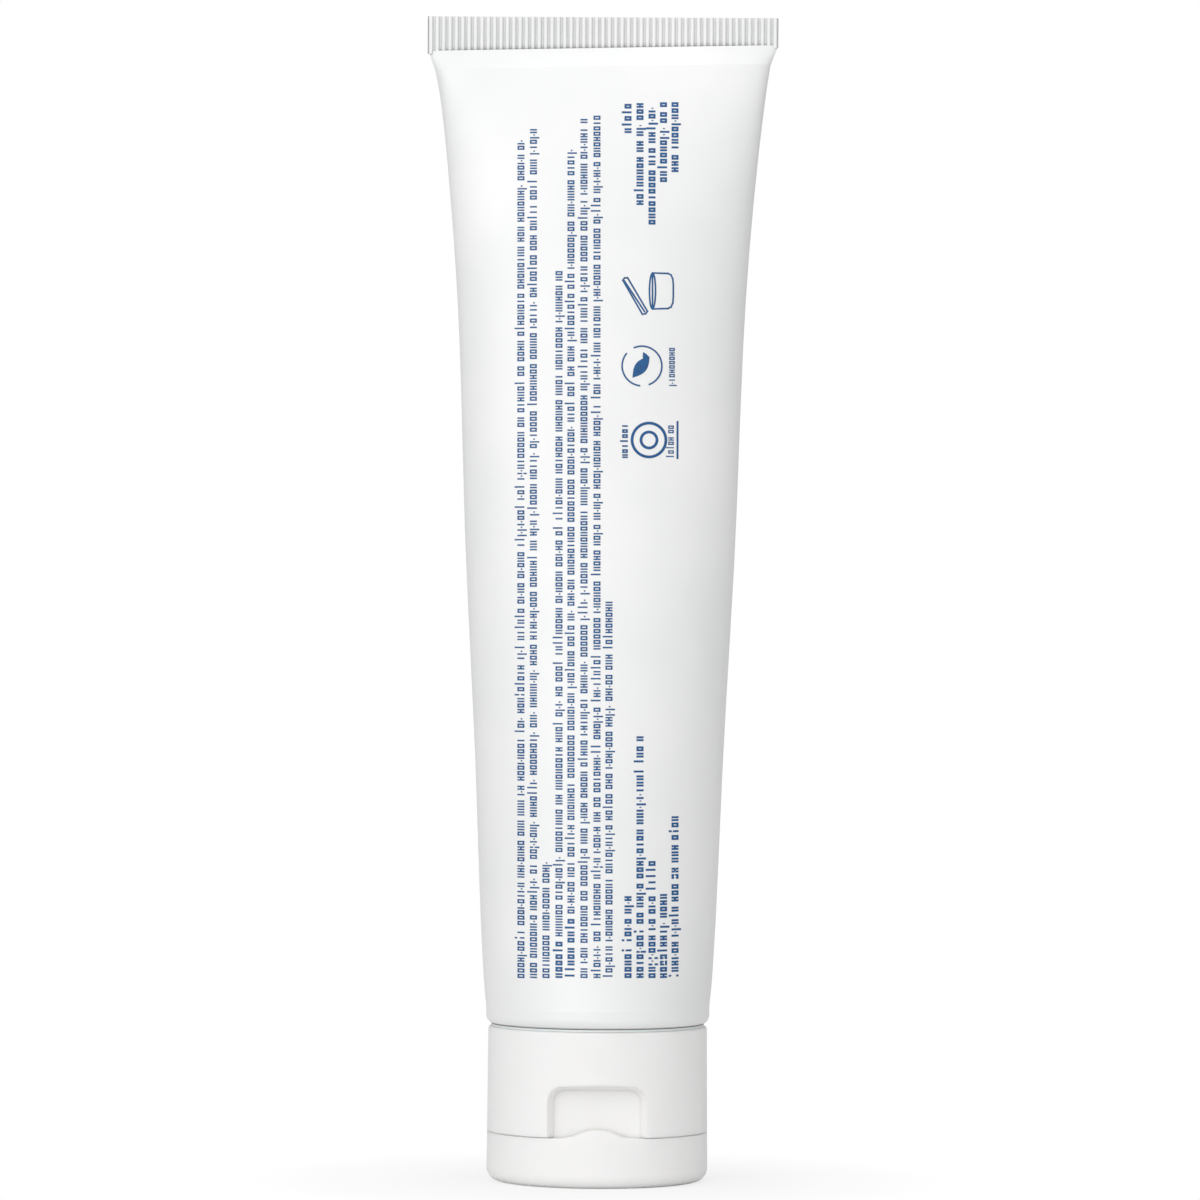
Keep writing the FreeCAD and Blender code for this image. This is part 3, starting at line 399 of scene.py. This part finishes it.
class Film:
    """The face of the sleeve that the print lies on, found by looking at it from the front."""

    def __init__(self, sleeve, relief):
        self.tree = BVHTree.FromObject(sleeve, bpy.context.evaluated_depsgraph_get())
        self.relief = relief
        self.cache = {}

    def seen(self, column, row):
        """X and Z of the place on the sleeve that the photograph shows in this column and row."""
        place, _, _, _ = self.tree.ray_cast(CAMERA_PLACE, sight(column, row).normalized())
        if place is None:
            raise RuntimeError(f"nothing of the sleeve lies at column {column} and row {row}")
        return Vector((place.x, place.z))

    def point(self, x, z):
        key = (round(x, 7), round(z, 7))
        if key not in self.cache:
            place, normal, _, _ = self.tree.ray_cast(Vector((x, -0.1, z)), Vector((0, 1, 0)))
            if place is None:
                raise RuntimeError(f"the print runs off the sleeve at {x:.4f}, {z:.4f}")
            self.cache[key] = (place, normal)
        return self.cache[key]

    def patch(self, mesh, corners):
        """A closed flake of ink with these corners, sunk a little into the film."""
        top = []
        bottom = []
        for x, z in corners:
            place, normal = self.point(x, z)
            top.append(mesh.verts.new(place + normal * self.relief))
            bottom.append(mesh.verts.new(place - normal * self.relief))
        count = len(corners)
        mesh.faces.new(top)
        mesh.faces.new(list(reversed(bottom)))
        for index in range(count):
            after = (index + 1) % count
            mesh.faces.new((top[after], top[index], bottom[index], bottom[after]))

    def strip(self, mesh, rows, closed):
        """A closed band of ink through pairs of outer and inner points."""
        rings = []
        for outer, inner in rows:
            ring = []
            for (x, z), side in ((outer, 1), (inner, 1), (inner, -1), (outer, -1)):
                place, normal = self.point(x, z)
                ring.append(mesh.verts.new(place + normal * self.relief * side))
            rings.append(ring)
        for index in range(len(rings) if closed else len(rings) - 1):
            ring = rings[index]
            after = rings[(index + 1) % len(rings)]
            for corner in range(4):
                following = (corner + 1) % 4
                mesh.faces.new((ring[corner], ring[following], after[following], after[corner]))
        if not closed:
            mesh.faces.new(rings[0])
            mesh.faces.new(list(reversed(rings[-1])))


def ink_piece(name, mesh, material):
    """Turns the strokes into one piece that rides on the tube."""
    bmesh.ops.recalc_face_normals(mesh, faces=mesh.faces)
    data = bpy.data.meshes.new(name)
    mesh.to_mesh(data)
    mesh.free()
    data.materials.append(material)
    piece = bpy.data.objects.new(name, data)
    bpy.context.scene.collection.objects.link(piece)
    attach(piece, "tube")
    return piece


def material_named(name, maker, looks):
    return bpy.data.materials.get(name) or maker(looks)


def mark(draw, width, stroke, rise):
    """Bars of one plain mark, as (start, end, low, high) along the line: a tick, a hook, a pair or a box."""
    kind = draw.random()
    left = (0, stroke, 0, rise)
    right = (width - stroke, width, 0, rise)
    if kind < TICK_SHARE:
        return [(width * THIRD, width * THIRD + stroke, 0, rise * draw.choice((1, TALL_TICK)))]
    if kind < HOOK_SHARE:
        stem = (0, stroke, draw.choice((0, HOOK_DROP)) * rise, rise)
        return [stem, (stroke * 2, width, rise * THIRD, rise * THIRD + stroke)]
    if kind < PAIR_SHARE:
        bridge = (stroke, width - stroke, (rise - stroke) / 2, (rise + stroke) / 2)
        return [left, right, bridge][:draw.choice((2, 2, 3))]
    return [left, right, (stroke, width - stroke, 0, stroke), (stroke, width - stroke, rise - stroke, rise)]


def print_line(film, mesh, draw, column, start_row, end_row, looks, bold_groups=0, scale=1.0):
    """Groups of plain marks in a line up the tube, with their feet towards +X."""
    begin = film.seen(column, start_row)
    finish = film.seen(column, end_row)
    end = (finish - begin).length
    along = (finish - begin).normalized()
    side = Vector((-along.y, along.x))
    rise = looks.mark_height * scale
    foot = begin - side * rise / 2
    advance = rise * MARK_ADVANCE
    place = 0
    group = 0
    while place < end - advance:
        bold = group < bold_groups
        stroke = looks.stroke * (BOLD_STROKE if bold else 1.0) * scale
        step = advance * (BOLD_ADVANCE if bold else 1.0)
        for _ in range(draw.randint(*GROUP_SIZES)):
            if place > end - step * LAST_MARK_ROOM:
                break
            for first, last, low, high in mark(draw, step * MARK_WIDTH, stroke, rise):
                corners = ((first, low), (first, high), (last, high), (last, low))
                film.patch(mesh, [foot + along * (place + far) + side * out for far, out in corners])
            place += step
        place += advance * GROUP_SPACE
        group += 1


# Blocks of small print: the column and the rows of each line in the photograph, and its bold groups
LONG_BLOCK = ((521, 978, 138, 0), (533.5, 978, 125, 0), (546, 978, 860, 0), (559, 978, 270, 1),
              (571, 978, 147, 2), (584, 978, 115, 0), (597, 978, 112, 0), (609, 978, 595, 0))
FOOT_BLOCK = ((628, 978, 897, 9), (640, 978, 735, 9), (652, 978, 856, 9), (663.5, 978, 893, 9),
              (675, 978, 816, 9))
HEAD_BLOCK = ((628, 133, 99, 9), (640, 205, 99, 9), (652, 224.5, 99, 9), (663.5, 182, 99, 9),
              (675, 172, 99, 9))


# Motifs, by column and row with radii and lengths, and their line widths in strokes
LEAF_RING = (642, 366, 3.35 * MM)
LEAF_ARCS = ((-70, 115), (140, 265))
LEAVES = ((641, 367, 4.6 * MM, 38), (646, 358, 2.2 * MM, -25))
LEAF_CAPTION = (672, 386, 343)
RING_MIDDLE = (649, 440)
RING_RADII = (2.85 * MM, 1.35 * MM)
RING_CAPTIONS = ((625, 458, 422, 9), (671, 458, 422, 0))
RING_RULE = ((677.5, 458), (677.5, 422))
LINE_STROKES = 1.1
RING_STROKES = 1.9
RULE_STROKES = 1.3

# The open jar and its tilted lid, in columns and rows
JAR = ((652.5, 273), (668, 273.5), (671, 275), (672.8, 279), (673.3, 285), (673.3, 297), (672.8, 303),
       (671, 307), (668, 308.5), (652.5, 309))
JAR_MOUTH = (652.5, 291, 3.0 * MM)
JAR_MOUTH_NARROW = 0.17
JAR_LID_EDGE = ((624.5, 281), (644.5, 311.5))
JAR_LID = ((622.8, 280.2), (624.5, 278), (627.6, 277.8), (647.4, 311.3), (645.8, 313.6), (642.4, 314.3))


def path_line(film, mesh, places, width, closed=False):
    """Straight strokes between places given as column and row, with square joins."""
    points = [film.seen(column, row) for column, row in places]
    count = len(points) if closed else len(points) - 1
    for index in range(count):
        stroke(film, mesh, points[index], points[(index + 1) % len(points)], width)


def stroke(film, mesh, begin, finish, width):
    """One stroke, cut into lengths that follow the curve of the film."""
    along = (finish - begin).normalized()
    side = Vector((-along.y, along.x)) * width / 2
    begin = begin - along * width / 2
    finish = finish + along * width / 2
    pieces = max(1, math.ceil((finish - begin).length / CUT_LENGTH))
    for index in range(pieces):
        low = begin.lerp(finish, index / pieces)
        high = begin.lerp(finish, (index + 1) / pieces)
        film.patch(mesh, [low + side, high + side, high - side, low - side])


def arc_line(film, mesh, column, row, radius, start, end, width, narrow=1.0):
    """A ring or a part of one, narrowed if wanted, as one closed band of ink."""
    full = abs(end - start - math.tau) < 1e-6
    steps = max(12, math.ceil(radius * (end - start) / ARC_STEP))
    middle = film.seen(column, row)
    rows = []
    for index in range(steps if full else steps + 1):
        turn = start + (end - start) * index / steps
        rim = Vector((math.cos(turn) * narrow, math.sin(turn))) * radius
        outward = Vector((math.cos(turn), math.sin(turn) * narrow)).normalized() * width / 2
        rows.append((middle + rim + outward, middle + rim - outward))
    film.strip(mesh, rows, full)


def leaf(film, column, row, length, lean, points=12):
    """A pointed oval, for a plain leaf motif."""
    middle = film.seen(column, row)
    outline = []
    for side in (1, -1):
        for index in range(points):
            share = index / points if side == 1 else 1 - index / points
            along = (share - 0.5) * length
            out = side * length * LEAF_WIDTH * math.sin(math.pi * share)
            outline.append((middle.x + along * math.sin(lean) + out * math.cos(lean),
                            middle.y + along * math.cos(lean) - out * math.sin(lean)))
    return outline


class TUBE_OT_print(bpy.types.Operator):
    """Prints the blocks of small plain marks on the front of the sleeve"""
    bl_idname = "tube.print_marks"
    bl_label = "Print marks"

    def execute(self, context):
        looks = context.scene.tube_looks
        film = Film(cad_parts["tube_sleeve"], looks.relief)
        ink = material_named("printing_ink", printing_ink, looks)
        draw = random.Random(looks.seed)
        for name, block in (("long_print", LONG_BLOCK), ("foot_print", FOOT_BLOCK), ("head_print", HEAD_BLOCK)):
            mesh = bmesh.new()
            for column, start_row, end_row, bold_groups in block:
                print_line(film, mesh, draw, column, start_row, end_row, looks, bold_groups)
            ink_piece(name, mesh, ink)
        return {"FINISHED"}


class TUBE_OT_emblems(bpy.types.Operator):
    """Prints plain ring, leaf and open jar motifs on the sleeve"""
    bl_idname = "tube.print_emblems"
    bl_label = "Print emblems"

    def execute(self, context):
        looks = context.scene.tube_looks
        film = Film(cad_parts["tube_sleeve"], looks.relief)
        ink = material_named("printing_ink", printing_ink, looks)
        draw = random.Random(looks.seed + 1)
        line = looks.stroke * LINE_STROKES
        mesh = bmesh.new()
        for start, end in LEAF_ARCS:
            arc_line(film, mesh, *LEAF_RING, math.radians(start), math.radians(end), line)
        for column, row, length, lean in LEAVES:
            film.patch(mesh, leaf(film, column, row, length, math.radians(lean)))
        print_line(film, mesh, draw, *LEAF_CAPTION, looks, 0, SMALL_PRINT)
        ink_piece("leaf_emblem", mesh, ink)
        mesh = bmesh.new()
        for radius in RING_RADII:
            arc_line(film, mesh, *RING_MIDDLE, radius, 0, math.tau, looks.stroke * RING_STROKES)
        for column, start_row, end_row, bold_groups in RING_CAPTIONS:
            print_line(film, mesh, draw, column, start_row, end_row, looks, bold_groups, SMALL_PRINT)
        path_line(film, mesh, RING_RULE, looks.stroke * RULE_STROKES)
        ink_piece("ring_emblem", mesh, ink)
        mesh = bmesh.new()
        path_line(film, mesh, JAR, line, closed=True)
        arc_line(film, mesh, *JAR_MOUTH, 0, math.tau, line, narrow=JAR_MOUTH_NARROW)
        path_line(film, mesh, JAR_LID, line, closed=True)
        path_line(film, mesh, JAR_LID_EDGE, line)
        ink_piece("jar_emblem", mesh, ink)
        return {"FINISHED"}


# Finishes of the moulded pieces

FINISHES = (
    ("tube_sleeve", laminate_film),
    ("tube_head", natural_polyethylene),
    ("paste_fill", white_paste),
    ("cap_body", moulded_polypropylene),
    ("flip_lid", moulded_polypropylene),
)


class TUBE_OT_finishes(bpy.types.Operator):
    """Gives each piece of the tube its own material"""
    bl_idname = "tube.finishes"
    bl_label = "Finish the pieces"

    def execute(self, context):
        looks = context.scene.tube_looks
        made = {}
        for node, maker in FINISHES:
            if maker not in made:
                made[maker] = maker(looks)
            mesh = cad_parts[node].data
            mesh.materials.clear()
            mesh.materials.append(made[maker])
        return {"FINISHED"}


# Studio

def area_light(name, power, size, place, target):
    data = bpy.data.lights.new(name, "AREA")
    data.shape = "RECTANGLE"
    data.size, data.size_y = size
    data.energy = power
    light = bpy.data.objects.new(name, data)
    light.location = place
    light.rotation_mode = "QUATERNION"
    light.rotation_quaternion = (Vector(target) - Vector(place)).to_track_quat("-Z", "Y")
    bpy.context.scene.collection.objects.link(light)
    return light


def make_world(studio):
    """White for the camera, and for the light a soft room that is brighter in front of the tube."""
    world = bpy.data.worlds.new("studio_room")
    bpy.context.scene.world = world
    world.use_nodes = True
    tree = world.node_tree
    tree.nodes.clear()
    direction = add_node(tree, "ShaderNodeTexCoord")
    front = add_node(tree, "ShaderNodeVectorMath", {
        0: direction.outputs["Generated"], 1: Vector(ROOM_FRONT).normalized()}, operation="DOT_PRODUCT")
    strength = add_node(tree, "ShaderNodeMapRange", {
        "Value": front.outputs["Value"], "From Min": 0.0, "From Max": 1.0,
        "To Min": studio.ambient, "To Max": studio.front})
    room = add_node(tree, "ShaderNodeBackground", {"Color": (1, 1, 1, 1), "Strength": strength.outputs["Result"]})
    white = add_node(tree, "ShaderNodeBackground", {"Color": (1, 1, 1, 1), "Strength": 1.0})
    mix = add_node(tree, "ShaderNodeMixShader", {
        0: seen_directly(tree), 1: room.outputs["Background"], 2: white.outputs["Background"]})
    add_node(tree, "ShaderNodeOutputWorld", {"Surface": mix.outputs["Shader"]})


def make_floor(studio):
    mesh = bpy.data.meshes.new("studio_floor")
    reach = FLOOR_REACH
    mesh.from_pydata([(-reach, -reach, 0), (reach, -reach, 0), (reach, reach, 0), (-reach, reach, 0)],
                     [], [(0, 1, 2, 3)])
    mesh.materials.append(studio_white("studio_paper", studio.floor_share))
    floor = bpy.data.objects.new("studio_floor", mesh)
    bpy.context.scene.collection.objects.link(floor)


def make_camera():
    data = bpy.data.cameras.new("photo_camera")
    data.sensor_width = SENSOR_WIDTH
    data.lens = data.sensor_width * CAMERA_DISTANCE / (PHOTO_WIDTH * PIXEL)
    data.clip_start = 0.01
    data.clip_end = 50
    camera = bpy.data.objects.new("photo_camera", data)
    camera.location = CAMERA_PLACE
    camera.rotation_euler = (math.radians(90), -CAMERA_ROLL, 0)
    bpy.context.scene.collection.objects.link(camera)
    bpy.context.scene.camera = camera


class TUBE_OT_stage(bpy.types.Operator):
    """Sets up the floor, the room, the lights and the camera"""
    bl_idname = "tube.stage"
    bl_label = "Set the stage"

    def execute(self, context):
        studio = context.scene.tube_studio
        context.scene.view_settings.view_transform = "Standard"
        make_world(studio)
        make_floor(studio)
        make_camera()
        area_light("key_light", studio.key_power, KEY_SIZE, KEY_PLACE, LIGHT_TARGET)
        area_light("top_light", studio.top_power, TOP_SIZE, TOP_PLACE, LIGHT_TARGET)
        return {"FINISHED"}


class TUBE_PT_panel(bpy.types.Panel):
    """Lists the tube's settings and steps"""
    bl_idname = "TUBE_PT_panel"
    bl_label = "Toothpaste tube"
    bl_space_type = "VIEW_3D"
    bl_region_type = "UI"
    bl_category = "Tube"

    def draw(self, context):
        layout = self.layout
        for group in (context.scene.tube_looks, context.scene.tube_studio):
            for name in group.__annotations__:
                layout.prop(group, name)
        for step in STEPS:
            layout.operator(step.bl_idname)


STEPS = (TUBE_OT_finishes, TUBE_OT_seat, TUBE_OT_print, TUBE_OT_emblems, TUBE_OT_stage)
CLASSES = (TubeLooks, TubeStudio, *STEPS, TUBE_PT_panel)


def register():
    for item in CLASSES:
        bpy.utils.register_class(item)
    bpy.types.Scene.tube_looks = PointerProperty(type=TubeLooks)
    bpy.types.Scene.tube_studio = PointerProperty(type=TubeStudio)


def unregister():
    del bpy.types.Scene.tube_studio
    del bpy.types.Scene.tube_looks
    for item in reversed(CLASSES):
        bpy.utils.unregister_class(item)


def main():
    register()
    bpy.ops.tube.finishes()
    bpy.ops.tube.shoulder_seat()
    bpy.ops.tube.print_marks()
    bpy.ops.tube.print_emblems()
    bpy.ops.tube.stage()


if __name__ == "__main__":
    main()
